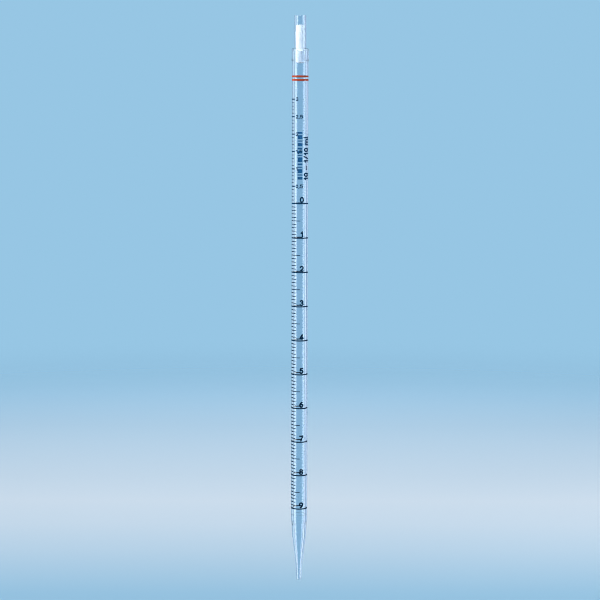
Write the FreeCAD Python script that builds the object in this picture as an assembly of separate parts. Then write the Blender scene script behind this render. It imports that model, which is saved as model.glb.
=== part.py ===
"""Plugged serological pipette, 10 ml in steps of 0.1 ml.

Three welded clear mouldings, a cotton plug and the print. Millimetres. The axis of the tube is the Z
axis. Z = 0 is the shoulder that the narrow mouth tube stands on, the mouth points to +Z and the tip to
-Z. The scale is read from the front, which is the -Y side; angles round the tube start there and grow
towards +X.
"""

import FreeCAD
import Part

import math
import os

V = FreeCAD.Vector

# ---------------------------------------------------------------- driving dimensions
# Barrel and scale
bore_d = 7.82              # bore of the barrel: with it goes the length of one millilitre
barrel_wall = 1.05
scale_ml = 9               # last graduation: the tenth millilitre is what the tip holds
reserve_ml = 3             # extra graduation above the zero ring
divisions = 10             # graduations in a millilitre
scale_top_margin = 22.9    # plain barrel above the reserve scale
scale_end_margin = 4.2     # plain barrel below the last graduation

# Mouthpiece
neck_length = 19.65        # mouth tube above the shoulder
neck_wall = 0.72
neck_gap = 0.34            # the neck's outside is this much smaller in radius than the barrel's bore
mouth_rim_round = 0.2
collar_height = 7.2
collar_step = 0.165        # how far the collar stands proud of the barrel
collar_round = 0.5
shoulder_thickness = 1.2
spigot_relief = 0.12       # the hidden end of the neck is this much thinner in radius
spigot_reach = 1.2         # how far it hangs below the weld into the barrel
weld_bead = 0.12           # bead of the upper weld, proud of the collar
weld_bead_height = 0.7

# Filter plug
plug_top_depth = 5.65      # empty mouth above the plug
plug_round = 1.2           # rounded lower end
plug_tail = 0.3            # how far the lower end shows below the spigot

# Tip
tip_length = 41.1
tip_rim_length = 1.4       # full-width rim at the lower weld
tip_shoulder_length = 5.0  # long soft shoulder
tip_waist_length = 6.5
tip_ease_length = 2.4      # where the waist runs over into the cone
tip_waist_inset = 0.34     # the waist is this much smaller in radius than the barrel
tip_draft = 0.24           # the waist narrows by this much in radius over its length
tip_ease_inset = 0.43
tip_wall = 1.2
tip_knee_rise = 9.6        # the cone turns steeper this far above the tip's end
tip_knee_d = 4.1
tip_knee_wall = 1.0
tip_end_d = 2.9
orifice_d = 1.5
orifice_length = 2.6
tip_end_round = 0.15

# Print
ink = 0.03                 # thickness of the printed film
ring_height = 1.0          # the two colour-code rings
ring_upper_drop = 9.3      # from the top of the barrel to each ring
ring_lower_drop = 11.4
fine_line = 0.42
bold_line = 0.70
numeral_height = 3.7
numeral_stroke = 0.84
small_height = 2.3
small_stroke = 0.46
small_gap = 0.48           # between small characters
numeral_lift = 0.12        # gap between a line and the numeral that stands on it
label_text = "10 - 1/10 ml"
label_rise = 14.2          # from the zero ring to the start of the capacity label
label_height = 4.0
label_narrow = 0.86        # width of the label's characters, as a share of the numerals' width
label_stroke = 0.84
label_gap = 0.92           # between the label's characters
dash_pitch = 1.3
dash_spread = 4.5          # each dash reaches this many degrees to either side
strip_length = 28.7        # batch strip on the back
strip_width = 3.6

# Angles round the tube, in degrees from the front
tick_from = -95.0
tick_to = -28.0
half_tick_to = 4.0
reserve_tick_to = -60.0
reserve_bold_tick_to = -40.0
line_from = -200.0
line_to = 92.0
numeral_angle = 14.5
small_text_angle = -28.5   # where the small reserve numerals begin
label_angle = 51.0
dash_angle = 82.5

# ---------------------------------------------------------------- sizes that follow
bore_r = bore_d / 2
barrel_r = bore_r + barrel_wall
ml_pitch = 1000.0 / (math.pi * bore_r ** 2)      # 1 ml is 1000 cubic millimetres

barrel_top_z = -collar_height
zero_z = barrel_top_z - scale_top_margin - reserve_ml * ml_pitch
barrel_end_z = zero_z - scale_ml * ml_pitch - scale_end_margin
tip_end_z = barrel_end_z - tip_length

neck_r = bore_r - neck_gap
mouth_r = neck_r - neck_wall
plug_top_z = neck_length - plug_top_depth
collar_r = barrel_r + collar_step
spigot_r = neck_r - spigot_relief
spigot_end_z = barrel_top_z - spigot_reach

tip_waist_r = barrel_r - tip_waist_inset
tip_waist_end_r = tip_waist_r - tip_draft
tip_ease_r = tip_waist_end_r - tip_ease_inset
tip_shoulder_z = barrel_end_z - tip_rim_length
tip_waist_z = tip_shoulder_z - tip_shoulder_length
tip_waist_end_z = tip_waist_z - tip_waist_length
tip_ease_z = tip_waist_end_z - tip_ease_length
tip_knee_r = tip_knee_d / 2
tip_knee_z = tip_end_z + tip_knee_rise
orifice_r = orifice_d / 2
orifice_top_z = tip_end_z + orifice_length


# ---------------------------------------------------------------- turned pieces
def line(start, end):
    """Straight edge of a half-section, from (radius, z) to (radius, z)."""
    return Part.makeLine(V(start[0], 0, start[1]), V(end[0], 0, end[1]))


def arc(start, middle, end):
    """Round edge of a half-section through three (radius, z) points."""
    points = [V(r, 0, z) for r, z in (start, middle, end)]
    return Part.Arc(*points).toShape()


def ease(start, end):
    """S-shaped edge that leaves and arrives along the axis, for moulded shoulders."""
    span = (end[1] - start[1]) / 2
    curve = Part.BezierCurve()
    curve.setPoles([
        V(start[0], 0, start[1]),
        V(start[0], 0, start[1] + span),
        V(end[0], 0, end[1] - span),
        V(end[0], 0, end[1]),
    ])
    return curve.toShape()


def corner(centre, radius, first, last):
    """Quarter-round edge about a (radius, z) centre, between two angles in degrees."""
    def at(degrees):
        a = math.radians(degrees)
        return centre[0] + radius * math.cos(a), centre[1] + radius * math.sin(a)
    return arc(at(first), at((first + last) / 2), at(last))


def turned(edges):
    """Solid of revolution about Z from the edges of its half-section."""
    section = Part.Face(Part.Wire(Part.__sortEdges__(edges)))
    return section.revolve(V(0, 0, 0), V(0, 0, 1), 360)


def build_barrel():
    height = barrel_top_z - barrel_end_z
    outside = Part.makeCylinder(barrel_r, height, V(0, 0, barrel_end_z))
    bore = Part.makeCylinder(bore_r, height, V(0, 0, barrel_end_z))
    return outside.cut(bore)


def build_mouthpiece():
    """Mouth tube, shoulder and collar in one moulding, with the spigot hanging inside the collar."""
    rim = mouth_rim_round
    top = neck_length
    bead_z = barrel_top_z + weld_bead_height
    bead_middle_z = (barrel_top_z + bead_z) / 2
    edges = [
        corner((neck_r - rim, top - rim), rim, 0, 90),
        line((neck_r - rim, top), (mouth_r + rim, top)),
        corner((mouth_r + rim, top - rim), rim, 90, 180),
        line((mouth_r, top - rim), (mouth_r, spigot_end_z)),
        line((mouth_r, spigot_end_z), (spigot_r, spigot_end_z)),
        line((spigot_r, spigot_end_z), (spigot_r, -shoulder_thickness)),
        line((spigot_r, -shoulder_thickness), (bore_r, -shoulder_thickness)),
        line((bore_r, -shoulder_thickness), (bore_r, barrel_top_z)),
        line((bore_r, barrel_top_z), (collar_r, barrel_top_z)),
        arc((collar_r, barrel_top_z), (collar_r + weld_bead, bead_middle_z), (collar_r, bead_z)),
        line((collar_r, bead_z), (collar_r, -collar_round)),
        corner((collar_r - collar_round, -collar_round), collar_round, 0, 90),
        line((collar_r - collar_round, 0), (neck_r, 0)),
        line((neck_r, 0), (neck_r, top - rim)),
    ]
    return turned(edges)


def build_tip():
    """Welded tip: rim, drawn-in waist and a cone that narrows to the orifice."""
    inner_rim_end_z = barrel_end_z - tip_rim_length - tip_wall
    inner_waist_z = tip_waist_z - tip_wall
    end_r = tip_end_d / 2
    edges = [
        line((bore_r, barrel_end_z), (barrel_r, barrel_end_z)),
        line((barrel_r, barrel_end_z), (barrel_r, tip_shoulder_z)),
        ease((barrel_r, tip_shoulder_z), (tip_waist_r, tip_waist_z)),
        line((tip_waist_r, tip_waist_z), (tip_waist_end_r, tip_waist_end_z)),
        line((tip_waist_end_r, tip_waist_end_z), (tip_ease_r, tip_ease_z)),
        line((tip_ease_r, tip_ease_z), (tip_knee_r, tip_knee_z)),
        line((tip_knee_r, tip_knee_z), (end_r, tip_end_z + tip_end_round)),
        line((end_r, tip_end_z + tip_end_round), (end_r - tip_end_round, tip_end_z)),
        line((end_r - tip_end_round, tip_end_z), (orifice_r, tip_end_z)),
        line((orifice_r, tip_end_z), (orifice_r, orifice_top_z)),
        line((orifice_r, orifice_top_z), (tip_knee_r - tip_knee_wall, tip_knee_z)),
        line((tip_knee_r - tip_knee_wall, tip_knee_z), (tip_waist_end_r - tip_wall, tip_waist_end_z)),
        line((tip_waist_end_r - tip_wall, tip_waist_end_z), (tip_waist_r - tip_wall, inner_waist_z)),
        ease((tip_waist_r - tip_wall, inner_waist_z), (bore_r, inner_rim_end_z)),
        line((bore_r, inner_rim_end_z), (bore_r, barrel_end_z)),
    ]
    return turned(edges)


def build_plug():
    """Cotton plug that fills the neck, its lower end rounded."""
    end_z = spigot_end_z - plug_tail
    flat_r = mouth_r - plug_round
    edges = [
        line((0, plug_top_z), (mouth_r, plug_top_z)),
        line((mouth_r, plug_top_z), (mouth_r, end_z + plug_round)),
        corner((flat_r, end_z + plug_round), plug_round, 0, -90),
        line((flat_r, end_z), (0, end_z)),
        line((0, end_z), (0, plug_top_z)),
    ]
    return turned(edges)


# ---------------------------------------------------------------- print
def film_band(z, height, start, end, centred=True):
    """Printed band of a given height on the barrel, from one angle to another."""
    low = z - height / 2 if centred else z
    sweep = end - start
    turn = start - 90                      # angle 0 is the front, -Y
    outer = Part.makeCylinder(barrel_r + ink, height, V(0, 0, low), V(0, 0, 1), sweep)
    inner = Part.makeCylinder(barrel_r, height, V(0, 0, low), V(0, 0, 1), sweep)
    band = outer.cut(inner)
    band.rotate(V(0, 0, 0), V(0, 0, 1), turn)
    return band


def mark(value, height, start, end):
    """Graduation at a value in millilitres: negative ones belong to the reserve."""
    return film_band(zero_z - value * ml_pitch, height, start, end)


BOW_STEP = 18              # degrees between the points of a rounded pen stroke
MITRE_LIMIT = 0.5          # keeps the corners of sharp pen turns from shooting out


def bow(centre_x, centre_z, radius_x, radius_z, first, last):
    """Points of a rounded pen stroke between two angles, in a cell one unit high."""
    steps = max(4, round(abs(last - first) / BOW_STEP))
    angles = [math.radians(first + (last - first) * i / steps) for i in range(steps + 1)]
    return [(centre_x + radius_x * math.cos(a), centre_z + radius_z * math.sin(a)) for a in angles]


# Pen strokes of each character, along the middle of the stroke, in a cell one unit high.
GLYPHS = {
    "0": [bow(0.32, 0.5, 0.32, 0.5, 0, 360)],
    "1": [[(0.10, 0.74), (0.38, 1.0), (0.38, 0.0)]],
    "2": [bow(0.32, 0.70, 0.30, 0.30, 165, -35) + [(0.0, 0.0), (0.64, 0.0)]],
    "3": [bow(0.30, 0.76, 0.28, 0.24, 150, -90), bow(0.30, 0.26, 0.32, 0.26, 90, -150)],
    "4": [[(0.66, 0.26), (0.0, 0.26), (0.46, 1.0)], [(0.46, 1.0), (0.46, 0.0)]],
    "5": [[(0.60, 1.0), (0.12, 1.0), (0.06, 0.55)], bow(0.29, 0.33, 0.33, 0.33, 130, -145)],
    "6": [bow(0.32, 0.31, 0.32, 0.31, 0, 360), bow(0.52, 0.34, 0.52, 0.66, 95, 180)],
    "7": [[(0.0, 1.0), (0.64, 1.0), (0.24, 0.0)]],
    "8": [bow(0.32, 0.76, 0.27, 0.24, 0, 360), bow(0.32, 0.26, 0.32, 0.26, 0, 360)],
    "9": [bow(0.32, 0.69, 0.32, 0.31, 0, 360), bow(0.12, 0.66, 0.52, 0.66, 0, -85)],
    ",": [[(0.14, 0.08), (0.02, -0.20)]],
    "/": [[(0.0, -0.05), (0.46, 1.05)]],
    "-": [[(0.04, 0.42), (0.76, 0.42)]],
    "m": [
        [(0.0, 0.0), (0.0, 0.68)],
        bow(0.29, 0.44, 0.29, 0.24, 180, 0) + [(0.58, 0.0)],
        bow(0.87, 0.44, 0.29, 0.24, 180, 0) + [(1.16, 0.0)],
    ],
    "l": [[(0.06, 0.0), (0.06, 1.0)]],
}
GLYPH_WIDTHS = {"1": 0.50, ",": 0.14, "/": 0.46, "-": 0.80, "m": 1.16, "l": 0.12, " ": 0.10}
WIDE = 0.66                                # every other character


def ribbon(points, width):
    """Outline of a pen stroke of a given width along its points, as two sides."""
    closed = math.dist(points[0], points[-1]) < 1e-6
    left, right = [], []
    last = len(points) - 1
    for i, (x, z) in enumerate(points):
        before = points[last - 1] if closed and i == 0 else points[max(i - 1, 0)]
        after = points[1] if closed and i == last else points[min(i + 1, last)]
        first = math.atan2(z - before[1], x - before[0]) if (x, z) != before else None
        second = math.atan2(after[1] - z, after[0] - x) if (x, z) != after else None
        first = second if first is None else first
        second = first if second is None else second
        half_turn = math.remainder(second - first, math.tau) / 2
        reach = width / 2 / max(math.cos(half_turn), MITRE_LIMIT)
        a = first + half_turn + math.pi / 2
        left.append((x + reach * math.cos(a), z + reach * math.sin(a)))
        right.append((x - reach * math.cos(a), z - reach * math.sin(a)))
    return left, right, closed


def stroke_prism(points, width, depth):
    """Straight prism over a pen stroke, standing on the XZ plane and running to -Y."""
    left, right, closed = ribbon(points, width)

    def face(outline):
        corners = [V(x, 0, z) for x, z in outline]
        return Part.Face(Part.makePolygon(corners + corners[:1]))

    if closed:
        outer, inner = sorted((face(left[:-1]), face(right[:-1])), key=lambda f: -f.Area)
        flat = outer.cut(inner)
    else:
        flat = face(left + right[::-1])
    return flat.extrude(V(0, -depth, 0))


def character_width(character, height, stroke, narrow=1.0):
    return GLYPH_WIDTHS.get(character, WIDE) * (height - stroke) * narrow


def text_width(text, height, stroke, gap):
    return sum(character_width(c, height, stroke) for c in text) + gap * (len(text) - 1)


def printed_character(character, height, stroke, offset, z, angle, upright, narrow):
    """One character of the print, wrapped on the barrel about the line at an angle round it.

    offset runs along the text from that line's foot. Upright text runs round the tube, other text runs
    up along it.
    """
    body = height - stroke
    pieces = []
    for points in GLYPHS[character]:
        scaled = [(x * body * narrow, y * body) for x, y in points]
        pieces.append(stroke_prism(scaled, stroke, barrel_r * 2))
    solid = pieces[0].fuse(pieces[1:]).removeSplitter() if len(pieces) > 1 else pieces[0]
    if upright:
        solid.translate(V(offset, 0, z))
    else:
        solid.translate(V(offset, 0, -body / 2))
        solid.rotate(V(0, 0, 0), V(0, 1, 0), -90)
        solid.translate(V(0, 0, z))
    box = solid.BoundBox
    film = Part.makeCylinder(barrel_r + ink, box.ZLength, V(0, 0, box.ZMin))
    film = film.cut(Part.makeCylinder(barrel_r, box.ZLength, V(0, 0, box.ZMin)))
    printed = solid.common(film)
    printed.rotate(V(0, 0, 0), V(0, 0, 1), angle)
    return printed


def printed_text(text, height, stroke, z, angle, gap, upright=True, centred=True, narrow=1.0):
    """Row of printed characters. z is the foot of upright text, or the start of text that runs up."""
    cursor = -text_width(text, height, stroke, gap) / 2 if centred else 0.0
    solids = []
    for character in text:
        if character != " ":
            solids += printed_character(character, height, stroke, cursor, z, angle, upright, narrow).Solids
        cursor += character_width(character, height, stroke, narrow) + gap
    return solids


def build_print():
    """All printed nodes, by name."""
    main_values = range(scale_ml + 1)
    tenths = [i / divisions for i in range(scale_ml * divisions) if i % (divisions // 2)]
    halves = [i + 0.5 for i in range(scale_ml)]
    reserve = range(1, reserve_ml * divisions + 1)
    half_steps = [i for i in reserve if not i % (divisions // 2)]
    fine_reserve = [-i / divisions for i in reserve if i not in half_steps]
    bold_reserve = [-i / divisions for i in half_steps]

    numerals = []
    for value in main_values:
        foot = zero_z - value * ml_pitch + bold_line / 2 + numeral_lift + numeral_stroke / 2
        numerals += printed_text(str(value), numeral_height, numeral_stroke, foot, numeral_angle, 0)

    small_numerals = []
    for tenth in half_steps:
        whole, rest = divmod(tenth, divisions)
        text = f"{whole},{rest}" if rest else str(whole)
        foot = zero_z + tenth * ml_pitch / divisions - (small_height - small_stroke) / 2
        small_numerals += printed_text(
            text, small_height, small_stroke, foot, small_text_angle, small_gap, centred=False
        )

    label_z = zero_z + label_rise
    label = printed_text(
        label_text, label_height, label_stroke, label_z, label_angle, label_gap,
        upright=False, centred=False, narrow=label_narrow,
    )
    dashes = [
        film_band(label_z + i * dash_pitch, fine_line, dash_angle - dash_spread, dash_angle + dash_spread)
        for i in range(int(strip_length / dash_pitch))
    ]

    # Plain bars of uneven height, as a code strip that says nothing.
    bar_heights = (1.6, 0.7, 2.4, 0.7, 1.1, 2.9, 0.7, 1.6, 1.1, 2.0, 0.7, 2.4, 1.1)
    bar_gap = (strip_length - sum(bar_heights)) / (len(bar_heights) - 1)
    half_width = math.degrees(strip_width / 2 / barrel_r)
    bars = []
    bar_z = label_z
    for height in bar_heights:
        bars.append(film_band(bar_z, height, 180 - half_width, 180 + half_width, centred=False))
        bar_z += height + bar_gap

    return {
        "colour_ring_upper": [film_band(barrel_top_z - ring_upper_drop, ring_height, 0, 360)],
        "colour_ring_lower": [film_band(barrel_top_z - ring_lower_drop, ring_height, 0, 360)],
        "millilitre_lines": [mark(v, bold_line, line_from, line_to) for v in main_values],
        "half_millilitre_ticks": [mark(v, fine_line, tick_from, half_tick_to) for v in halves],
        "tenth_millilitre_ticks": [mark(v, fine_line, tick_from, tick_to) for v in tenths],
        "reserve_ticks": [mark(v, fine_line, tick_from, reserve_tick_to) for v in fine_reserve],
        "reserve_bold_ticks": [mark(v, bold_line, tick_from, reserve_bold_tick_to) for v in bold_reserve],
        "scale_numerals": numerals,
        "reserve_numerals": small_numerals,
        "capacity_label": label,
        "label_dashes": dashes,
        "batch_strip": bars,
    }


def main():
    nodes = {
        "barrel": [build_barrel()],
        "mouthpiece": [build_mouthpiece()],
        "tip_nozzle": [build_tip()],
        "filter_plug": [build_plug()],
    }
    nodes.update(build_print())
    os.makedirs("parts", exist_ok=True)
    for name, solids in nodes.items():
        for solid in solids:
            if not solid.isValid():
                raise ValueError(f"{name} has an invalid solid")
        shape = solids[0] if len(solids) == 1 else Part.makeCompound(solids)
        shape.exportStep(f"parts/{name}.step")
        print(f"{name}: {len(solids)} solids, {shape.Volume:.3f} cubic mm")
    print(f"1 ml is {ml_pitch:.2f} mm of barrel; overall {neck_length - tip_end_z:.1f} mm")


main()
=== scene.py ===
"""Looks of the plugged 10 ml serological pipette: clear welded mouldings, cotton plug and wrapped print.

Lengths are in millimetres until a mesh is made, and metres in Blender. The tube's axis is Z, the scale is
read from -Y, and angles round the tube are degrees from -Y, growing towards +X.
"""

import math
import random

import bmesh
import bpy
import numpy as np
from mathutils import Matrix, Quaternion, Vector, noise


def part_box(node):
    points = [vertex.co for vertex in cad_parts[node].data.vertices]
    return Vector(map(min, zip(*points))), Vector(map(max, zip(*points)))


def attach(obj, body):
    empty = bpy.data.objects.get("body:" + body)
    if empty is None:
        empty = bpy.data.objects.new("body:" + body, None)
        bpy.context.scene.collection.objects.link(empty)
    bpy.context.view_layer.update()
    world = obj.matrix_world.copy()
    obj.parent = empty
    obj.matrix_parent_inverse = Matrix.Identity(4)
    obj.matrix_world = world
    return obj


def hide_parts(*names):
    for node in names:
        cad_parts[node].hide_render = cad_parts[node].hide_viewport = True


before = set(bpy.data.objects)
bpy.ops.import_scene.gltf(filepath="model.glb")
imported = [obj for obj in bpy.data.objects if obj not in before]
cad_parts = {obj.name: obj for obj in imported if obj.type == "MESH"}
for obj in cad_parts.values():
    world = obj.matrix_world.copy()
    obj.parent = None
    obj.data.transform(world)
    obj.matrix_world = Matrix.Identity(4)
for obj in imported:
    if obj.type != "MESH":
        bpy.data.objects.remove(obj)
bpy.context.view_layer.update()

MM = 0.001

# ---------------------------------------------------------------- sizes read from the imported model, in mm
def extent(node):
    low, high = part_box(node)
    return [v / MM for v in low], [v / MM for v in high]


barrel_low, barrel_high = extent("barrel")
mouth_low, mouth_high = extent("mouthpiece")
tip_low = extent("tip_nozzle")[0]
plug_low, plug_high = extent("filter_plug")

barrel_r = barrel_high[0]
barrel_top = barrel_high[2]
barrel_end = barrel_low[2]
neck_top = mouth_high[2]
spigot_end = mouth_low[2]
tip_end = tip_low[2]
plug_top = plug_high[2]
plug_end = plug_low[2]
mouth_r = plug_high[0]

# ---------------------------------------------------------------- sizes that the boxes don't give, in mm
bore_r = 3.91
neck_r = 3.57
collar_r = 5.125
collar_round = 0.5
shoulder_thickness = 1.2
spigot_r = 3.45
weld_bead = 0.12
weld_bead_height = 0.7
mouth_rim_round = 0.2
seam = 0.012               # half of the hairline at each weld

scale_drop = 22.9           # from the top of the barrel to the uppermost mark
reserve_ml = 3              # millilitres that are marked above the zero line
ml_pitch = 1000.0 / (math.pi * bore_r ** 2)
zero_z = barrel_top - scale_drop - reserve_ml * ml_pitch

# the tip from the weld down: a rim, a run drawn in, a waist, a short ease and the cone, which bends at a knee
rim_length, draw_length, waist_length, ease_length, knee_height = 1.4, 5.0, 6.5, 2.4, 9.6
draw_inset, waist_taper, ease_taper = 0.34, 0.24, 0.43
tip_rim_z = barrel_end - rim_length
tip_waist_z = tip_rim_z - draw_length
tip_waist_end_z = tip_waist_z - waist_length
tip_ease_z = tip_waist_end_z - ease_length
tip_waist_r = barrel_r - draw_inset
tip_waist_end_r = tip_waist_r - waist_taper
tip_ease_r = tip_waist_end_r - ease_taper
tip_wall = 1.2
tip_knee_z = tip_end + knee_height
tip_knee_r = 2.05
tip_knee_wall = 1.0
tip_end_r = 1.45
orifice_r = 0.75
orifice_length = 2.6

film_thickness = 0.03
film_edge = 0.010           # the top edge of a film is softened by this much
film_bite = 0.008           # the film reaches this far into the surface, so there is no air under it
ink_r = barrel_r + film_thickness
ink_edge_r = ink_r - film_edge
ink_root_r = barrel_r - film_bite

SEGMENTS = 128


# ---------------------------------------------------------------- mesh tools
def new_object(name, vertices, faces, smooth_angle=40.0):
    """Mesh object from vertices in mm, with outward normals and sharp edges above an angle."""
    mesh = bpy.data.meshes.new(name)
    mesh.from_pydata([tuple(c * MM for c in v) for v in vertices], [], faces)
    work = bmesh.new()
    work.from_mesh(mesh)
    bmesh.ops.recalc_face_normals(work, faces=work.faces)
    work.to_mesh(mesh)
    work.free()
    mesh.shade_smooth()
    mesh.set_sharp_from_angle(angle=math.radians(smooth_angle))
    piece = bpy.data.objects.new(name, mesh)
    bpy.context.scene.collection.objects.link(piece)
    return piece


def mount(piece, slot, *nodes):
    """The piece hides the CAD nodes it stands for and rides on the one body. The slot is not used."""
    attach(piece, "root")
    if nodes:
        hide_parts(*nodes)
    return piece


def arc_points(centre_r, centre_z, radius, first, last, steps=6):
    """Points of a round corner in the half-section, angles in degrees from the outward direction."""
    angles = [math.radians(first + (last - first) * i / steps) for i in range(steps + 1)]
    return [(centre_r + radius * math.cos(a), centre_z + radius * math.sin(a)) for a in angles]


def ease_points(start, end, lean_start=0.0, lean_end=0.0, steps=14):
    """S-shaped run between two half-section points. The leans slope its two ends off the axis."""
    span = (end[1] - start[1]) / 2
    poles = (start, (start[0] + lean_start, start[1] + span), (end[0] + lean_end, end[1] - span), end)
    points = []
    for t in shares(steps):
        weights = ((1 - t) ** 3, 3 * t * (1 - t) ** 2, 3 * t * t * (1 - t), t ** 3)
        points.append(tuple(sum(w * p[k] for w, p in zip(weights, poles)) for k in (0, 1)))
    return points


def with_support(profile, near=0.04, long_edge=0.6):
    """Adds loops close to both ends of long straight runs, so their shading stays true."""
    result = []
    for a, b in zip(profile, profile[1:] + profile[:1]):
        result.append(a)
        length = math.dist(a, b)
        if length > long_edge:
            for share in (near / length, 1 - near / length):
                result.append((a[0] + (b[0] - a[0]) * share, a[1] + (b[1] - a[1]) * share))
    return result


def dome(share, least=0.0):
    """Height of a quarter round at a share of its width."""
    return math.sqrt(max(least, 1 - (1 - share) ** 2))


def shares(steps):
    return [i / steps for i in range(steps + 1)]


def noise_round(angle, waves, level):
    """Noise that meets itself after one turn round the axis."""
    return noise.noise(Vector((math.cos(angle) * waves, math.sin(angle) * waves, level)))


def lathe(name, profile, wobble=None, segments=SEGMENTS):
    """Closed half-section turned round Z. wobble(radius, z, angle) gives a small change of radius."""
    loop = with_support(profile)
    count = len(loop)
    vertices, faces = [], []
    for s in range(segments):
        a = math.tau * s / segments
        for r, z in loop:
            radius = r + (wobble(r, z, a) if wobble else 0.0)
            vertices.append((radius * math.sin(a), -radius * math.cos(a), z))
    for s in range(segments):
        here, there = s * count, ((s + 1) % segments) * count
        for i in range(count):
            j = (i + 1) % count
            faces.append((here + i, there + i, there + j, here + j))
    return new_object(name, vertices, faces)


# ---------------------------------------------------------------- material tools
def new_material(name):
    material = bpy.data.materials.new(name)
    material.use_nodes = True
    material.node_tree.nodes.clear()
    return material, material.node_tree.nodes, material.node_tree.links


def grain(nodes, links, scale, stretch=(1, 1, 1), detail=4.0, roughness=0.55):
    """Noise in the object's own space. scale is in waves per metre."""
    place = nodes.new("ShaderNodeTexCoord")
    mapping = nodes.new("ShaderNodeMapping")
    mapping.inputs["Scale"].default_value = stretch
    texture = nodes.new("ShaderNodeTexNoise")
    texture.inputs["Scale"].default_value = scale
    texture.inputs["Detail"].default_value = detail
    texture.inputs["Roughness"].default_value = roughness
    links.new(place.outputs["Object"], mapping.inputs["Vector"])
    links.new(mapping.outputs["Vector"], texture.inputs["Vector"])
    return texture.outputs["Fac"]


def ramp(nodes, links, source, stops):
    """Colour ramp from (position, colour) stops."""
    node = nodes.new("ShaderNodeValToRGB")
    elements = node.color_ramp.elements
    while len(elements) < len(stops):
        elements.new(0.5)
    for element, (position, colour) in zip(elements, stops):
        element.position = position
        element.color = (*colour, 1.0)
    links.new(source, node.inputs["Fac"])
    return node.outputs["Color"]


def map_range(nodes, links, source, from_range, to_range=(0.0, 1.0), easing="LINEAR"):
    """A value brought from one range to another, held at its ends."""
    node = nodes.new("ShaderNodeMapRange")
    node.interpolation_type = easing
    node.inputs["From Min"].default_value, node.inputs["From Max"].default_value = from_range
    node.inputs["To Min"].default_value, node.inputs["To Max"].default_value = to_range
    links.new(source, node.inputs["Value"])
    return node.outputs["Result"]


def spread(nodes, links, source, low, high):
    """Noise brought to a range."""
    return map_range(nodes, links, source, (0.3, 0.7), (low, high))


def combine(nodes, links, operation, first, second):
    """Sum, product or angle of two values."""
    node = nodes.new("ShaderNodeMath")
    node.operation = operation
    links.new(first, node.inputs[0])
    links.new(second, node.inputs[1])
    return node.outputs["Value"]


def mix_shaders(nodes, links, factor, first, second):
    node = nodes.new("ShaderNodeMixShader")
    links.new(factor, node.inputs["Fac"])
    links.new(first, node.inputs[1])
    links.new(second, node.inputs[2])
    return node.outputs["Shader"]


def finish_material(nodes, links, surface, kind="ShaderNodeOutputMaterial"):
    links.new(surface, nodes.new(kind).inputs["Surface"])


def relief(nodes, links, source, strength, distance, under=None):
    node = nodes.new("ShaderNodeBump")
    node.inputs["Strength"].default_value = strength
    node.inputs["Distance"].default_value = distance
    links.new(source, node.inputs["Height"])
    if under is not None:
        links.new(under, node.inputs["Normal"])
    return node.outputs["Normal"]


def clear_plastic(name, light, dark, streak_scale, streak_stretch, streak_strength):
    """Clear polystyrene: flow or draw lines in the surface, faint haze, and lamps shine through it."""
    material, nodes, links = new_material(name)
    shader = nodes.new("ShaderNodeBsdfPrincipled")
    shader.inputs["Transmission Weight"].default_value = 1.0
    shader.inputs["IOR"].default_value = 1.59
    streaks = grain(nodes, links, streak_scale, streak_stretch, detail=3.0)
    haze = grain(nodes, links, 260.0, (1, 1, 0.4), detail=5.0)
    links.new(ramp(nodes, links, haze, [(0.3, dark), (0.7, light)]), shader.inputs["Base Color"])
    links.new(spread(nodes, links, haze, 0.004, 0.03), shader.inputs["Roughness"])
    links.new(relief(nodes, links, streaks, streak_strength, 0.00004), shader.inputs["Normal"])
    through = nodes.new("ShaderNodeBsdfTransparent")
    through.inputs["Color"].default_value = (0.93, 0.95, 0.97, 1.0)
    shadow_ray = nodes.new("ShaderNodeLightPath").outputs["Is Shadow Ray"]
    mixed = mix_shaders(nodes, links, shadow_ray, shader.outputs["BSDF"], through.outputs["BSDF"])
    finish_material(nodes, links, mixed)
    return material


def printed_ink(name, dark, light, gloss=0.3):
    """Screen-printed film: slightly uneven colour, fine grain, satin gloss."""
    material, nodes, links = new_material(name)
    shader = nodes.new("ShaderNodeBsdfPrincipled")
    shader.inputs["Specular IOR Level"].default_value = 0.12
    shader.inputs["IOR"].default_value = 1.2
    cloud = grain(nodes, links, 900.0, detail=3.0)
    speck = grain(nodes, links, 6000.0, detail=2.0)
    links.new(ramp(nodes, links, cloud, [(0.32, dark), (0.68, light)]), shader.inputs["Base Color"])
    links.new(spread(nodes, links, cloud, gloss - 0.07, gloss + 0.12), shader.inputs["Roughness"])
    links.new(relief(nodes, links, speck, 0.25, 0.00001), shader.inputs["Normal"])
    finish_material(nodes, links, shader.outputs["BSDF"])
    return material


def cotton_fibre(name):
    """Loose white cotton: soft sheen, fine fibre relief, and painted shade in the hollows of that relief."""
    material, nodes, links = new_material(name)
    shader = nodes.new("ShaderNodeBsdfPrincipled")
    shader.inputs["Roughness"].default_value = 0.95
    shader.inputs["Specular IOR Level"].default_value = 0.15
    shader.inputs["Sheen Weight"].default_value = 0.35
    shader.inputs["Sheen Roughness"].default_value = 0.5
    wisps_and_painted_shade = grain(nodes, links, 1500.0, (1, 1, 0.35), detail=6.0, roughness=0.65)
    fibres = grain(nodes, links, 5200.0, (1, 1, 0.18), detail=4.0)
    # painted shade: the colour darkens where this same noise sinks the relief
    colour = ramp(nodes, links, wisps_and_painted_shade, [(0.30, (0.70, 0.75, 0.80)), (0.62, (0.93, 0.945, 0.96))])
    links.new(colour, shader.inputs["Base Color"])
    under = relief(nodes, links, wisps_and_painted_shade, 0.6, 0.00020)
    links.new(relief(nodes, links, fibres, 0.5, 0.00006, under), shader.inputs["Normal"])
    finish_material(nodes, links, shader.outputs["BSDF"])
    return material


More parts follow.
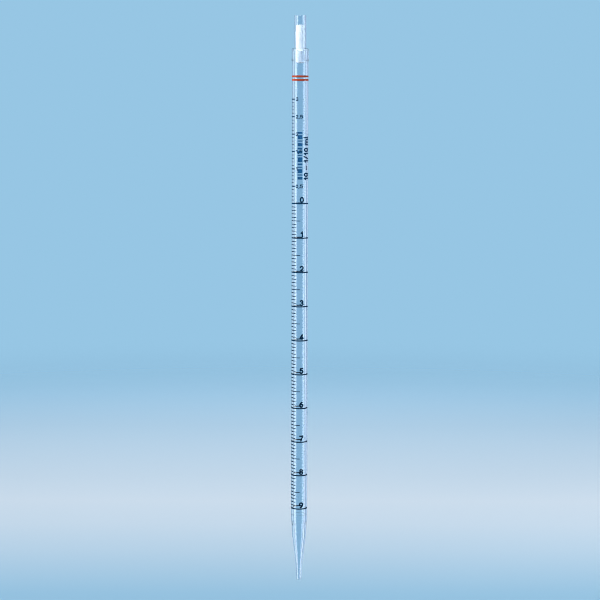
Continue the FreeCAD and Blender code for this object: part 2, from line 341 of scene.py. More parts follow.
CLEAR, DRAWN_CLEAR, MOULDED_CLEAR = (0.885, 0.920, 0.968), (0.862, 0.905, 0.958), (0.858, 0.902, 0.956)
clear_tube = clear_plastic("clear_tube", CLEAR, DRAWN_CLEAR, 900.0, (1, 1, 0.012), 0.10)
clear_mouth = clear_plastic("clear_mouthpiece", CLEAR, MOULDED_CLEAR, 520.0, (1, 1, 0.45), 0.16)
clear_tip = clear_plastic("clear_tip", CLEAR, MOULDED_CLEAR, 620.0, (1, 1, 0.10), 0.16)
black_ink = printed_ink("black_ink", (0.001, 0.015, 0.036), (0.003, 0.024, 0.054), 0.55)
blue_ink = printed_ink("blue_ink", (0.001, 0.070, 0.185), (0.004, 0.100, 0.245), 0.5)
orange_ink = printed_ink("orange_ink", (0.205, 0.026, 0.011), (0.260, 0.042, 0.019), 0.45)
cotton = cotton_fibre("cotton")


# ---------------------------------------------------------------- clear mouldings
def build_tube():
    """Extruded barrel. Both welded ends carry a fine chamfer, so the seams show as hairlines."""
    top, end, chamfer = barrel_top - seam, barrel_end + seam, 0.05
    profile = [
        (bore_r, top), (barrel_r - chamfer, top), (barrel_r, top - chamfer),
        (barrel_r, end + chamfer), (barrel_r - chamfer, end), (bore_r, end),
    ]
    return lathe("tube", profile)


def build_mouthpiece():
    """Mouth tube, shoulder, collar with its weld bead, and the spigot inside."""
    rim, fillet, soft, edge = mouth_rim_round, 0.22, 0.10, 0.05
    bead_steps = 10
    bottom = barrel_top + seam
    bead_z = barrel_top + weld_bead_height
    profile = arc_points(neck_r - rim, neck_top - rim, rim, 0, 90, 5)
    profile += arc_points(mouth_r + rim, neck_top - rim, rim, 90, 180, 5)
    profile += arc_points(mouth_r + soft, spigot_end + soft, soft, 180, 270, 4)
    profile += arc_points(spigot_r - soft, spigot_end + soft, soft, 270, 360, 4)
    profile += [(spigot_r, -shoulder_thickness - soft), (spigot_r + soft, -shoulder_thickness)]
    profile += [(bore_r - soft, -shoulder_thickness), (bore_r, -shoulder_thickness - soft)]
    profile += [(bore_r, bottom), (collar_r - edge, bottom)]
    middle = (bottom + bead_z) / 2
    half = (bead_z - bottom) / 2
    for i in range(bead_steps + 1):
        a = math.radians(-90 + 180 * i / bead_steps)
        profile.append((collar_r + weld_bead * math.cos(a), middle + half * math.sin(a)))
    profile += arc_points(collar_r - collar_round, -collar_round, collar_round, 0, 90, 8)
    profile += arc_points(neck_r + fillet, fillet, fillet, 270, 180, 5)

    def wobble(r, z, a):
        if r > collar_r + 0.01:                      # the bead swells and thins round the weld
            return weld_bead * (0.5 * noise_round(a, 2.6, 4.2) + 0.6 * noise_round(a, 9.0, z * 1.4))
        return 0.0

    return lathe("mouthpiece_moulding", profile, wobble)


def build_tip():
    """Rim, drawn-in waist and cone of the tip, hollow down to the orifice."""
    top, chamfer, soft, edge = barrel_end - seam, 0.06, 0.12, 0.05
    inner_waist_z = tip_waist_z - tip_wall
    inner_rim_end = tip_rim_z - tip_wall
    melt_height = 0.16
    profile = [(bore_r, top), (barrel_r - chamfer, top), (barrel_r, top - chamfer)]
    slope = (tip_waist_r - tip_waist_end_r) / (tip_waist_z - tip_waist_end_z)
    lean = slope * (tip_rim_z - tip_waist_z) / 2
    profile += ease_points((barrel_r, tip_rim_z), (tip_waist_r, tip_waist_z), lean_end=lean)
    profile += [(tip_waist_end_r, tip_waist_end_z), (tip_ease_r, tip_ease_z), (tip_knee_r, tip_knee_z)]
    profile += arc_points(tip_end_r - soft, tip_end + soft, soft, 0, -90, 4)
    profile += [(orifice_r + edge, tip_end), (orifice_r, tip_end + edge)]
    profile += [(orifice_r, tip_end + orifice_length), (tip_knee_r - tip_knee_wall, tip_knee_z)]
    profile += [(tip_waist_end_r - tip_wall, tip_waist_end_z)]
    profile += ease_points((tip_waist_r - tip_wall, inner_waist_z), (bore_r, inner_rim_end), lean_start=lean)

    def melt(r, z, a):
        if r > bore_r + 0.01 or not inner_waist_z < z < inner_rim_end:
            return 0.0
        share = (z - inner_waist_z) / (inner_rim_end - inner_waist_z)     # lumps inside, left by the weld
        return -melt_height * math.sin(math.pi * share) * max(0.0, noise_round(a, 4.5, z * 1.2))

    return lathe("tip_moulding", profile, melt)


tube = mount(build_tube(), "clear_tube", "barrel")
tube.data.materials.append(clear_tube)
mouthpiece = mount(build_mouthpiece(), "clear_mouthpiece", "mouthpiece")
mouthpiece.data.materials.append(clear_mouth)
tip = mount(build_tip(), "clear_tip", "tip_nozzle")
tip.data.materials.append(clear_tip)


# ---------------------------------------------------------------- cotton plug
def build_plug():
    """Wad of cotton: lumpy sides pressed against the bore, ragged top, rounded lower end."""
    around, rows = 96, 150
    clearance = 0.05
    round_end, round_top = 1.25, 0.7
    lump_depth, wisp_depth, fibre_depth = 0.16, 0.10, 0.05
    full = mouth_r - clearance
    vertices, faces = [], []
    length = plug_top - plug_end
    for j in range(rows + 1):
        z = plug_end + length * j / rows
        up = min(1.0, (z - plug_end) / round_end)
        down = min(1.0, (plug_top - z) / round_top)
        shape = dome(up) * (0.55 + 0.45 * dome(down))
        for s in range(around):
            a = math.tau * s / around
            where = Vector((math.sin(a) * 2.2, -math.cos(a) * 2.2, z * 0.55))
            lump = noise.noise(where) * 0.5 + 0.5
            wisp = noise.noise(Vector((math.sin(a) * 7, math.cos(a) * 7, z * 1.9))) * 0.5 + 0.5
            fibre = noise.noise(Vector((math.sin(a) * 16, math.cos(a) * 16, z * 5.0))) * 0.5 + 0.5
            radius = (full - lump_depth * lump - wisp_depth * wisp - fibre_depth * fibre) * shape
            rise = -0.25 * wisp if j == rows else 0.0
            vertices.append((radius * math.sin(a), -radius * math.cos(a), z + rise))
    for j in range(rows):
        for s in range(around):
            t = (s + 1) % around
            faces.append((j * around + s, j * around + t, (j + 1) * around + t, (j + 1) * around + s))
    # both ends close over a few rings
    for base, direction in ((0, -1), (rows * around, 1)):
        ring = list(range(base, base + around))
        for share in (0.75, 0.5, 0.25):
            start = len(vertices)
            for source in range(base, base + around):
                x, y, z = vertices[source]
                dip = noise.noise(Vector((x * share * 1.7, y * share * 1.7, direction * 3.0)))
                vertices.append((x * share, y * share, z + 0.22 * dip if direction > 0 else z))
            new_ring = list(range(start, start + around))
            for s in range(around):
                t = (s + 1) % around
                faces.append((ring[s], ring[t], new_ring[t], new_ring[s]))
            ring = new_ring
        vertices.append((0.0, 0.0, vertices[ring[0]][2]))
        for s in range(around):
            faces.append((ring[s], ring[(s + 1) % around], len(vertices) - 1))
    return new_object("cotton_wad", vertices, faces, 180.0)


def build_fibres():
    """Loose fibres lying over the wad, and the fuzz at both of its ends."""
    lying, top_fuzz, end_fuzz = 520, 150, 110
    draw = random.Random(7)
    vertices, faces = [], []

    def strand(points, radius):
        start = len(vertices)
        for i, (x, y, z) in enumerate(points):
            taper = radius * (0.45 if i in (0, len(points) - 1) else 1.0)
            out = Vector((x, y, 0.0))
            out = out.normalized() if out.length > 1e-6 else Vector((1, 0, 0))
            ahead = Vector(points[min(i + 1, len(points) - 1)]) - Vector(points[max(i - 1, 0)])
            side = ahead.cross(out).normalized()
            for k in range(3):
                a = math.tau * k / 3
                v = Vector((x, y, z)) + (side * math.cos(a) + out * math.sin(a)) * taper
                vertices.append(tuple(v))
        for i in range(len(points) - 1):
            for k in range(3):
                m = (k + 1) % 3
                a, b = start + i * 3, start + (i + 1) * 3
                faces.append((a + k, a + m, b + m, b + k))
        faces.append((start, start + 1, start + 2))
        last = start + (len(points) - 1) * 3
        faces.append((last + 2, last + 1, last))

    limit = mouth_r - 0.03
    for _ in range(lying):
        a = draw.uniform(0, math.tau)
        z = draw.uniform(plug_end + 1.3, plug_top - 0.4)
        turn, climb = draw.uniform(-0.9, 0.9), draw.uniform(-2.6, 2.6)
        depth = draw.uniform(0.03, 0.16)
        phase = draw.uniform(0, math.tau)
        points = []
        for t in shares(10):
            r = limit - depth - 0.05 * math.sin(phase + 5 * t)
            b = a + turn * t + 0.10 * math.sin(phase + 7 * t)
            h = min(max(z + climb * t + 0.12 * math.cos(phase + 6 * t), plug_end + 1.0), plug_top - 0.05)
            points.append((r * math.sin(b), -r * math.cos(b), h))
        strand(points, draw.uniform(0.010, 0.020))
    for _ in range(top_fuzz):
        a = draw.uniform(0, math.tau)
        r0 = limit * math.sqrt(draw.uniform(0.02, 0.85))
        heading = draw.uniform(0, math.tau)
        height = draw.uniform(0.1, 0.75)
        points = []
        for t in shares(8):
            x = r0 * math.sin(a) + 1.3 * (t - 0.5) * math.cos(heading + t)
            y = -r0 * math.cos(a) + 1.3 * (t - 0.5) * math.sin(heading + t)
            fit = min(1.0, (limit - 0.06) / max(math.hypot(x, y), 1e-6))
            points.append((x * fit, y * fit, plug_top - 0.35 + height * math.sin(math.pi * t)))
        strand(points, draw.uniform(0.009, 0.016))
    for _ in range(end_fuzz):
        a = draw.uniform(0, math.tau)
        turn = draw.uniform(-0.8, 0.8)
        low = draw.uniform(0.0, 1.1)
        points = []
        for t in shares(8):
            rise = low + draw.uniform(-0.03, 0.03)
            share = min(1.0, (rise + 0.15) / 1.35)
            r = (limit - 0.10) * dome(share, 0.05) * (0.94 + 0.05 * math.sin(6 * t))
            b = a + turn * t
            points.append((r * math.sin(b), -r * math.cos(b), plug_end + rise + 0.25 * math.sin(math.pi * t)))
        strand(points, draw.uniform(0.010, 0.018))
    return new_object("cotton_fibres", vertices, faces, 180.0)


wad = mount(build_plug(), "cotton", "filter_plug")
wad.data.materials.append(cotton)
fibres = mount(build_fibres(), "cotton")
fibres.data.materials.append(cotton)


# ---------------------------------------------------------------- print: lines and rings
def on_tube(radius, degrees, z):
    a = math.radians(degrees)
    return (radius * math.sin(a), -radius * math.cos(a), z)


def add_film(vertices, faces, stations, closed=False):
    """Skin of one wrapped film. A station is (degrees, middle z, half height, softness of its edges)."""
    first, count = len(vertices), len(stations)
    for degrees, middle, half, soft in stations:
        for radius, level in (
            (ink_root_r, -half), (ink_edge_r, -half), (ink_r, -half + soft),
            (ink_r, half - soft), (ink_edge_r, half), (ink_root_r, half),
        ):
            vertices.append(on_tube(radius, degrees, middle + level))
    for i in range(count if closed else count - 1):
        here, there = first + i * 6, first + ((i + 1) % count) * 6
        for k in range(6):
            m = (k + 1) % 6
            faces.append((here + k, there + k, there + m, here + m))
    if not closed:
        faces.append(tuple(first + k for k in range(6)))
        last = first + (count - 1) * 6
        faces.append(tuple(last + k for k in reversed(range(6))))


def add_band(vertices, faces, z, height, start, end, seed):
    """One printed line, with rounded ends and faintly uneven edges."""
    soft, end_steps, degrees_per_step = 0.022, 5, 2.0
    closed = end - start >= 360
    half = height / 2
    reach = math.degrees(half / barrel_r)
    body = max(3, math.ceil((end - start) / degrees_per_step))
    if closed:
        outline = [(start + 360 * i / body, 1.0) for i in range(body)]
    else:
        caps = [(t, dome(t) * 0.96 + 0.04) for t in shares(end_steps)[:-1]]
        outline = [(start + reach * t, share) for t, share in caps]
        outline += [(start + reach + (end - start - 2 * reach) * i / body, 1.0) for i in range(body + 1)]
        outline += [(end - reach * t, share) for t, share in reversed(caps)]
    stations = []
    for degrees, share in outline:
        a = math.radians(degrees)
        ragged = noise_round(a, 9, seed * 3.7)
        drift = noise_round(a, 2, seed * 1.3)
        stations.append((degrees, z + 0.012 * drift, half * share * (1 + 0.07 * ragged), soft * share))
    add_film(vertices, faces, stations, closed)


def add_bar(vertices, faces, z, height, start, end):
    """One printed bar: a wrapped rectangle with rounded corners."""
    corner, soft, steps = 0.12, 0.02, 14
    reach = math.degrees(corner / barrel_r)
    outline = [start + reach * t for t in (0.0, 0.3, 0.65, 1.0)]
    outline += [start + reach + (end - start - 2 * reach) * i / steps for i in range(1, steps)]
    outline += [end - reach * t for t in (1.0, 0.65, 0.3, 0.0)]
    stations = []
    for degrees in outline:
        share = min(1.0, min(degrees - start, end - degrees) / reach)
        stations.append((degrees, z, height / 2 - corner * (1 - dome(share)), soft))
    add_film(vertices, faces, stations)


def bands(node, material, slot, rows):
    """The printed lines of one CAD node, from rows of (z, height, start, end)."""
    name = f"{node}_print"
    vertices, faces = [], []
    for i, (z, height, start, end) in enumerate(rows):
        add_band(vertices, faces, z, height, start, end, i + len(name))
    piece = mount(new_object(name, vertices, faces), slot, node)
    piece.data.materials.append(material)


def mark_z(value):
    """Height of the mark for so many millilitres. Those above the zero line are negative."""
    return zero_z - value * ml_pitch


FINE, BOLD = 0.42, 0.70             # heights of the thin and the thick lines
TICK_FROM, TICK_TO, HALF_TO = -95.0, -28.0, 4.0
RESERVE_TO, RESERVE_BOLD_TO = -60.0, -40.0
LINE_FROM, LINE_TO = -200.0, 92.0

for node in ("colour_ring_upper", "colour_ring_lower"):
    low, high = extent(node)
    bands(node, orange_ink, "orange_ink", [((low[2] + high[2]) / 2, high[2] - low[2], 0.0, 360.0)])

for node, height, start, end, values in (
    ("millilitre_lines", BOLD, LINE_FROM, LINE_TO, range(10)),
    ("half_millilitre_ticks", FINE, TICK_FROM, HALF_TO, [v + 0.5 for v in range(9)]),
    ("tenth_millilitre_ticks", FINE, TICK_FROM, TICK_TO, [v / 10 for v in range(90) if v % 5]),
    ("reserve_ticks", FINE, TICK_FROM, RESERVE_TO, [-v / 10 for v in range(1, 31) if v % 5]),
    ("reserve_bold_ticks", BOLD, TICK_FROM, RESERVE_BOLD_TO, [-v / 10 for v in range(5, 31, 5)]),
):
    bands(node, black_ink, "black_ink", [(mark_z(v), height, start, end) for v in values])

LABEL_RISE = 14.2                   # from the zero line to the start of the upright print
DASHES, DASH_PITCH = 22, 1.3
DASH_FROM, DASH_TO = 78.0, 87.0
label_z = zero_z + LABEL_RISE
bands("label_dashes", black_ink, "black_ink",
      [(label_z + DASH_PITCH * i, FINE, DASH_FROM, DASH_TO) for i in range(DASHES)])


def bar_strip():
    """Plain bars with softly rounded corners, on the back, in place of a batch number."""
    heights = (1.6, 0.7, 2.4, 0.7, 1.1, 2.9, 0.7, 1.6, 1.1, 2.0, 0.7, 2.4, 1.1)
    length, width = 28.7, 3.6
    gap = (length - sum(heights)) / (len(heights) - 1)
    half_width = math.degrees(width / 2 / barrel_r)
    vertices, faces = [], []
    z = label_z
    for height in heights:
        add_bar(vertices, faces, z + height / 2, height, 180 - half_width, 180 + half_width)
        z += height + gap
    piece = mount(new_object("batch_strip_print", vertices, faces), "blue_ink", "batch_strip")
    piece.data.materials.append(blue_ink)


bar_strip()


# ---------------------------------------------------------------- print: characters
def bow(centre_x, centre_z, radius_x, radius_z, first, last):
    """Points of a rounded pen stroke between two angles, in a cell one unit high."""
    steps = max(6, round(abs(last - first) / 9))
    angles = [math.radians(first + (last - first) * i / steps) for i in range(steps + 1)]
    return [(centre_x + radius_x * math.cos(a), centre_z + radius_z * math.sin(a)) for a in angles]


GLYPHS = {
    "0": [bow(0.32, 0.5, 0.32, 0.5, 0, 360)],
    "1": [[(0.10, 0.74), (0.38, 1.0), (0.38, 0.0)]],
    "2": [bow(0.32, 0.70, 0.30, 0.30, 165, -35) + [(0.0, 0.0), (0.64, 0.0)]],
    "3": [bow(0.30, 0.76, 0.28, 0.24, 150, -90), bow(0.30, 0.26, 0.32, 0.26, 90, -150)],
    "4": [[(0.66, 0.26), (0.0, 0.26), (0.46, 1.0)], [(0.46, 1.0), (0.46, 0.0)]],
    "5": [[(0.60, 1.0), (0.12, 1.0), (0.06, 0.55)], bow(0.29, 0.33, 0.33, 0.33, 130, -145)],
    "6": [bow(0.32, 0.31, 0.32, 0.31, 0, 360), bow(0.52, 0.34, 0.52, 0.66, 95, 180)],
    "7": [[(0.0, 1.0), (0.64, 1.0), (0.24, 0.0)]],
    "8": [bow(0.32, 0.76, 0.27, 0.24, 0, 360), bow(0.32, 0.26, 0.32, 0.26, 0, 360)],
    "9": [bow(0.32, 0.69, 0.32, 0.31, 0, 360), bow(0.12, 0.66, 0.52, 0.66, 0, -85)],
    ",": [[(0.14, 0.08), (0.02, -0.20)]],
    "/": [[(0.0, -0.05), (0.46, 1.05)]],
    "-": [[(0.04, 0.42), (0.76, 0.42)]],
    "m": [
        [(0.0, 0.0), (0.0, 0.68)],
        bow(0.29, 0.44, 0.29, 0.24, 180, 0) + [(0.58, 0.0)],
        bow(0.87, 0.44, 0.29, 0.24, 180, 0) + [(1.16, 0.0)],
    ],
    "l": [[(0.06, 0.0), (0.06, 1.0)]],
}
GLYPH_WIDTHS = {"1": 0.50, ",": 0.14, "/": 0.46, "-": 0.80, "m": 1.16, "l": 0.12, " ": 0.10}
WIDE = 0.66


def stroke_field(character, body, narrow, stroke, xs, zs):
    """Distance to the pen strokes less half their width, on a grid."""
    grid_x, grid_z = np.meshgrid(xs, zs, indexing="ij")
    nearest = np.full(grid_x.shape, 1e9)
    for points in GLYPHS[character]:
        for (ax, az), (bx, bz) in zip(points, points[1:]):
            ax, az, bx, bz = ax * body * narrow, az * body, bx * body * narrow, bz * body
            dx, dz = bx - ax, bz - az
            length = dx * dx + dz * dz
            if length < 1e-12:
                continue
            t = np.clip(((grid_x - ax) * dx + (grid_z - az) * dz) / length, 0, 1)
            nearest = np.minimum(nearest, np.hypot(grid_x - ax - t * dx, grid_z - az - t * dz))
    return nearest - stroke / 2


def flat_cells(field, xs, zs):
    """Polygons that cover where the field is below zero, with shared vertices."""
    vertices, index, polygons = [], {}, []

    def corner_vertex(i, j):
        key = (i, j, 0)
        if key not in index:
            index[key] = len(vertices)
            vertices.append((xs[i], zs[j]))
        return index[key]

    def edge_vertex(a, b):
        low, high = min(a, b), max(a, b)
        key = (*low, 1 if low[0] != high[0] else 2)
        if key not in index:
            fa, fb = field[low], field[high]
            t = min(max(fa / (fa - fb), 0.04), 0.96)
            index[key] = len(vertices)
            vertices.append((
                xs[low[0]] + (xs[high[0]] - xs[low[0]]) * t,
                zs[low[1]] + (zs[high[1]] - zs[low[1]]) * t,
            ))
        return index[key]

    for i in range(len(xs) - 1):
        for j in range(len(zs) - 1):
            corners = [(i, j), (i + 1, j), (i + 1, j + 1), (i, j + 1)]
            inside = [field[c] < 0 for c in corners]
            if not any(inside):
                continue
            polygon = []
            for k in range(4):
                m = (k + 1) % 4
                if inside[k]:
                    polygon.append(corner_vertex(*corners[k]))
                if inside[k] != inside[m]:
                    polygon.append(edge_vertex(corners[k], corners[m]))
            polygons.append(polygon)
    return vertices, polygons


def add_character(vertices, faces, character, height, narrow, stroke, offset, z, degrees, upright, cell):
    """One printed character wrapped on the tube, as a closed film."""
    body = height - stroke
    width = GLYPH_WIDTHS.get(character, WIDE) * body * narrow
    xs = np.arange(-stroke, width + stroke + cell, cell)
    zs = np.arange(-0.25 * body - stroke, 1.06 * body + stroke + cell, cell)
    flat, polygons = flat_cells(stroke_field(character, body, narrow, stroke, xs, zs), xs, zs)
    turn = math.radians(degrees)
    first, count = len(vertices), len(flat)
    for radius in (ink_r, ink_root_r):
        for x, up in flat:
            across, level = (x + offset, up + z) if upright else (body / 2 - up, x + offset + z)
            a = math.asin(across / barrel_r) + turn
            vertices.append((radius * math.sin(a), -radius * math.cos(a), level))
    edges = set()
    for polygon in polygons:
        faces.append(tuple(first + v for v in polygon))
        faces.append(tuple(first + count + v for v in reversed(polygon)))
        edges.update(zip(polygon, polygon[1:] + polygon[:1]))
    for a, b in sorted(edges):
        if (b, a) not in edges:
            faces.append((first + b, first + a, first + count + a, first + count + b))


def character_width(character, height, narrow, stroke):
    return GLYPH_WIDTHS.get(character, WIDE) * (height - stroke) * narrow


def text_width(text, height, narrow, stroke, gap):
    return sum(character_width(c, height, narrow, stroke) for c in text) + gap * (len(text) - 1)


def printed_text(node, rows, cell):
    """One CAD node's characters. A row is (text, height, narrow, stroke, z, degrees, gap, upright, centred)."""
    vertices, faces = [], []
    for text, height, narrow, stroke, z, degrees, gap, upright, centred in rows:
        cursor = -text_width(text, height, narrow, stroke, gap) / 2 if centred else 0.0
        for character in text:
            if character != " ":
                add_character(vertices, faces, character, height, narrow, stroke, cursor,
                              z, degrees, upright, cell)
            cursor += character_width(character, height, narrow, stroke) + gap
    piece = mount(new_object(f"{node}_print", vertices, faces, 50.0), "black_ink", node)
    piece.data.materials.append(black_ink)


NUMERAL, NUMERAL_STROKE, NUMERAL_ANGLE = 3.7, 0.84, 14.5
NUMERAL_LIFT = 0.12                 # gap between a line and the numeral that stands on it
SMALL, SMALL_STROKE, SMALL_GAP, SMALL_ANGLE = 2.3, 0.46, 0.48, -28.5
LABEL, LABEL_NARROW, LABEL_STROKE, LABEL_GAP, LABEL_ANGLE = 4.0, 0.86, 0.84, 0.92, 51.0
LARGE_CELL, SMALL_CELL = 0.09, 0.055

numeral_rows = []
for v in range(10):
    foot = mark_z(v) + BOLD / 2 + NUMERAL_LIFT + NUMERAL_STROKE / 2
    numeral_rows.append((str(v), NUMERAL, 1.0, NUMERAL_STROKE, foot, NUMERAL_ANGLE, 0.0, True, True))
small_rows = []
for tenth in range(5, 31, 5):
    whole, rest = divmod(tenth, 10)
    text = f"{whole},{rest}" if rest else str(whole)
    foot = mark_z(-tenth / 10) - (SMALL - SMALL_STROKE) / 2
    small_rows.append((text, SMALL, 1.0, SMALL_STROKE, foot, SMALL_ANGLE, SMALL_GAP, True, False))
label_rows = [
    ("10 - 1/10 ml", LABEL, LABEL_NARROW, LABEL_STROKE, label_z, LABEL_ANGLE, LABEL_GAP, False, False),
]
printed_text("scale_numerals", numeral_rows, LARGE_CELL)
printed_text("reserve_numerals", small_rows, SMALL_CELL)
printed_text("capacity_label", label_rows, LARGE_CELL)


# ---------------------------------------------------------------- studio
BACKDROP = (0.309, 0.565, 0.776)
FLOOR_BLUE = (0.42, 0.60, 0.70)     # the floor's colour is a painted pool of light, palest a little behind the object, and blue further off
PAINTED_POOL_PALE = (0.84, 0.80, 0.79)
GRADIENT_DEPTH = 1.4                # metres behind the object over which its colour changes
FADE_FROM, FADE_TO = 0.7, 1.5       # metres from the middle between which the floor melts into the backdrop
FAR_SIDE_LIGHT = 0.15               # share of a soft box that shows straight through the tube, unreflected
FLOOR_DROP = 35.0                   # mm from the tip down to the floor
STRONGEST = 6.0                     # the surroundings' colours are divided by this, since a ramp stops at 1
floor_z = tip_end - FLOOR_DROP


def build_floor():
    """Plain pale floor with a painted pool of light a little behind the object; it melts into the backdrop far
    from the object.
    """
    rings, around, radius = 48, 96, 3200.0
    vertices, faces = [(0.0, 0.0, floor_z)], []
    for j in range(1, rings + 1):
        r = radius * (j / rings) ** 1.6
        for s in range(around):
            a = math.tau * s / around
            vertices.append((r * math.sin(a), -r * math.cos(a), floor_z))
    for s in range(around):
        faces.append((0, 1 + (s + 1) % around, 1 + s))
    for j in range(rings - 1):
        a, b = 1 + j * around, 1 + (j + 1) * around
        for s in range(around):
            t = (s + 1) % around
            faces.append((a + s, a + t, b + t, b + s))
    floor = new_object("studio_floor", vertices, faces)
    floor.visible_glossy = False
    floor.visible_transmission = False
    material, nodes, links = new_material("floor")
    place = nodes.new("ShaderNodeTexCoord")
    length = nodes.new("ShaderNodeVectorMath")
    length.operation = "LENGTH"
    links.new(place.outputs["Object"], length.inputs[0])
    fade = map_range(nodes, links, length.outputs["Value"], (FADE_FROM, FADE_TO), easing="SMOOTHERSTEP")
    split = nodes.new("ShaderNodeSeparateXYZ")
    links.new(place.outputs["Object"], split.inputs["Vector"])
    behind = map_range(nodes, links, split.outputs["Y"], (0.0, GRADIENT_DEPTH))

    def paper(depth, share, painted_light_gain=1.0):
        """Colour stop at a depth in metres: a share of the way from blue to the painted pool's pale, times a
        gain that paints the far floor brighter where less lamp light falls.
        """
        colour = tuple(painted_light_gain * (low + (high - low) * share) for low, high in zip(FLOOR_BLUE, PAINTED_POOL_PALE))
        return depth / GRADIENT_DEPTH, colour

    shader = nodes.new("ShaderNodeBsdfPrincipled")
    shader.inputs["Roughness"].default_value = 0.7
    shader.inputs["Specular IOR Level"].default_value = 0.1
    # painted pool of light: the colour is palest about 0.36 m behind the object, on top of the overhead lamp's
    # own pool
    links.new(ramp(nodes, links, behind, [
        paper(0.085, 0.0), paper(0.20, 0.55), paper(0.28, 0.85), paper(0.36, 1.0), paper(0.46, 0.82),
        paper(0.71, 0.42, 1.05), paper(0.90, 0.20, 1.15), paper(1.28, 0.0, 1.16),
    ]), shader.inputs["Base Color"])
    clear = nodes.new("ShaderNodeBsdfTransparent")
    melting = mix_shaders(nodes, links, fade, shader.outputs["BSDF"], clear.outputs["BSDF"])
    finish_material(nodes, links, melting)
    floor.data.materials.append(material)


def build_world():
    """Even backdrop for the eye; two tall soft boxes and a dim room for the plastic to reflect."""
    world = bpy.data.worlds.new("studio")
    bpy.context.scene.world = world
    world.use_nodes = True
    nodes, links = world.node_tree.nodes, world.node_tree.links
    nodes.clear()
    place = nodes.new("ShaderNodeTexCoord")
    split = nodes.new("ShaderNodeSeparateXYZ")
    links.new(place.outputs["Generated"], split.inputs["Vector"])
    angle = combine(nodes, links, "ARCTAN2", split.outputs["X"], split.outputs["Y"])
    share = map_range(nodes, links, angle, (-math.pi, math.pi))

    def azimuth_ramp(stops):
        """Colours round the horizon, from stops in degrees where 0 is straight behind the object."""
        scaled = [((d + 180) / 360, tuple(c / STRONGEST for c in colour)) for d, colour in stops]
        return ramp(nodes, links, share, scaled)

    room = azimuth_ramp([
        (-180, (0.10, 0.20, 0.30)), (-140, (0.12, 0.22, 0.33)), (-80, (0.38, 0.60, 0.76)),
        (-45, (0.62, 0.84, 1.02)), (-33, (0.50, 0.74, 0.94)), (-26, (0.16, 0.22, 0.36)),
        (-18, (0.24, 0.36, 0.50)), (-12, BACKDROP), (10, BACKDROP), (16, (0.06, 0.18, 0.36)),
        (25, (1.20, 1.36, 1.60)), (34, (0.50, 0.64, 0.84)), (45, (0.10, 0.22, 0.38)),
        (58, (0.28, 0.44, 0.66)), (70, (0.42, 0.62, 0.80)), (130, (0.12, 0.24, 0.36)),
        (180, (0.10, 0.20, 0.30)),
    ])
    boxes = azimuth_ramp([
        (-136, (0, 0, 0)), (-126, (2.2, 2.2, 2.3)), (-115, (3.6, 3.8, 3.9)), (-105, (3.2, 3.5, 3.6)),
        (-90, (1.2, 1.6, 1.7)), (-76, (0, 0, 0)),
        (66, (0, 0, 0)), (84, (1.0, 1.2, 1.3)), (98, (2.0, 2.1, 2.1)), (112, (1.9, 2.0, 2.0)),
        (132, (0, 0, 0)),
    ])
    rise = map_range(nodes, links, split.outputs["Z"], (-0.85, -0.70), easing="SMOOTHSTEP")
    fall = map_range(nodes, links, split.outputs["Z"], (0.75, 0.50), easing="SMOOTHSTEP")
    window = combine(nodes, links, "MULTIPLY", rise, fall)
    path = nodes.new("ShaderNodeLightPath")
    bounces = combine(nodes, links, "ADD", path.outputs["Glossy Depth"], path.outputs["Diffuse Depth"])
    crossed = map_range(nodes, links, bounces, (0.0, 1.0), (FAR_SIDE_LIGHT, 1.0))
    lit = nodes.new("ShaderNodeVectorMath")
    lit.operation = "SCALE"
    links.new(boxes, lit.inputs[0])
    links.new(combine(nodes, links, "MULTIPLY", window, crossed), lit.inputs["Scale"])
    total = nodes.new("ShaderNodeVectorMath")
    total.operation = "ADD"
    links.new(room, total.inputs[0])
    links.new(lit.outputs["Vector"], total.inputs[1])
    surroundings = nodes.new("ShaderNodeBackground")
    surroundings.inputs["Strength"].default_value = STRONGEST
    links.new(total.outputs["Vector"], surroundings.inputs["Color"])
    backdrop = nodes.new("ShaderNodeBackground")
    backdrop.inputs["Color"].default_value = (*BACKDROP, 1.0)
    seen = mix_shaders(nodes, links, path.outputs["Is Camera Ray"],
                       surroundings.outputs["Background"], backdrop.outputs["Background"])
    finish_material(nodes, links, seen, "ShaderNodeOutputWorld")


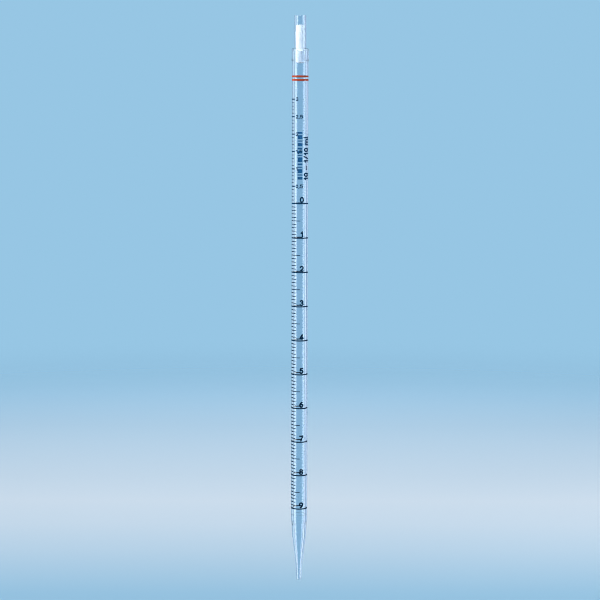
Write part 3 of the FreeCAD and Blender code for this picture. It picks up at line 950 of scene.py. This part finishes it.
def area_light(name, location, target, size, power, colour):
    data = bpy.data.lights.new(name, "AREA")
    data.shape = "RECTANGLE"
    data.size, data.size_y = size
    data.energy = power
    data.color = colour
    lamp = bpy.data.objects.new(name, data)
    lamp.location = location
    lamp.rotation_mode = "QUATERNION"
    lamp.rotation_quaternion = (Vector(target) - Vector(location)).to_track_quat("-Z", "Y")
    lamp.visible_camera = False
    bpy.context.scene.collection.objects.link(lamp)
    return lamp


def build_camera():
    """Level with the marks above the zero line, looking slightly down; the object nearly fills the height."""
    distance, eye_z, pitch, roll, aside = 0.9883, -0.045, 0.1072, math.radians(0.156), 0.00022
    sensor, lens = 36.0, 98.0
    data = bpy.data.cameras.new("camera")
    data.sensor_width = sensor
    data.lens = lens
    data.clip_start, data.clip_end = 0.01, 20.0
    camera = bpy.data.objects.new("camera", data)
    bpy.context.scene.collection.objects.link(camera)
    forward = Vector((0.0, math.cos(pitch), -math.sin(pitch)))
    camera.rotation_mode = "QUATERNION"
    aim = forward.to_track_quat("-Z", "Y")
    camera.rotation_quaternion = aim @ Quaternion((0, 0, 1), roll)
    camera.location = (aside, -distance, eye_z)
    bpy.context.scene.camera = camera


build_floor()
build_world()
area_light("overhead", (0.0, 0.30, 0.95), (0.0, 0.30, -0.36), (0.7, 0.7), 5.5, (0.94, 0.985, 1.01))
key = area_light("key", (-0.95, -0.50, 0.20), (0.0, 0.0, 0.0), (0.20, 0.20), 0.55, (1.0, 1.0, 1.0))
fill = area_light("fill", (0.95, -0.30, 0.15), (0.0, 0.0, 0.0), (0.20, 0.20), 0.30, (0.66, 0.85, 1.0))
low_fill = area_light("low_fill", (-0.04, -0.14, -0.345), (0.0, 0.0, -0.01), (0.10, 0.10), 0.036,
                      (0.9, 0.96, 1.0))
LAMP_SPREAD = 26
for lamp in (key, fill, low_fill):       # narrow lamps for the print and the cotton, kept off the plastic
    lamp.data.spread = math.radians(LAMP_SPREAD)
    lamp.visible_glossy = False
    lamp.visible_transmission = False
build_camera()

scene = bpy.context.scene
scene.view_settings.view_transform = "Standard"
scene.cycles.caustics_reflective = False
scene.cycles.caustics_refractive = False
scene.cycles.filter_width = 1.0
